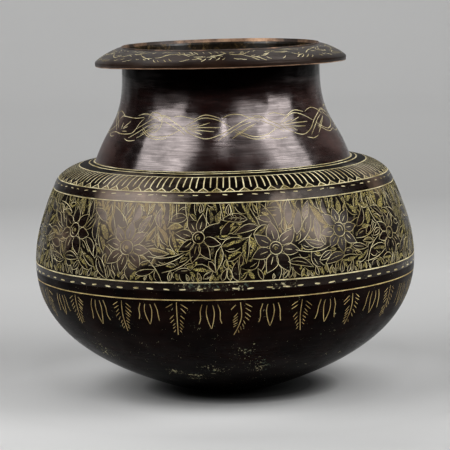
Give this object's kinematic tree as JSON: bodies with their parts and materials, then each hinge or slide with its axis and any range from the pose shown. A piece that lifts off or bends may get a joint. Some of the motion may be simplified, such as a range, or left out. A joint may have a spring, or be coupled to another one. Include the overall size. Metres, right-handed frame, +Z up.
{
  "type": "water pot",
  "caption": "Round-bellied beaten-metal water pot with a flat shoulder, a waisted neck and a broad down-turned rim, on a small flat base.",
  "frame": {"origin": "centre of the flat that the pot stands on", "axes": "+Z up along the pot's axis, out through the mouth; X and Y are free, because the pot is round"},
  "size_m": [0.2534, 0.2534, 0.2306],
  "materials": {
    "dark_patina": "dark brown patina, polished by handling",
    "rim_patina": "brown patina worn to bare metal at the edge",
    "braze": "dull cast brazing metal"
  },
  "bodies": {
    "root": {"lower_bowl": "dark_patina", "upper_belly": "dark_patina", "neck": "dark_patina", "rim_collar": "rim_patina", "belly_braze": "braze", "neck_braze": "braze", "rim_braze": "braze"}
  },
  "joints": []
}
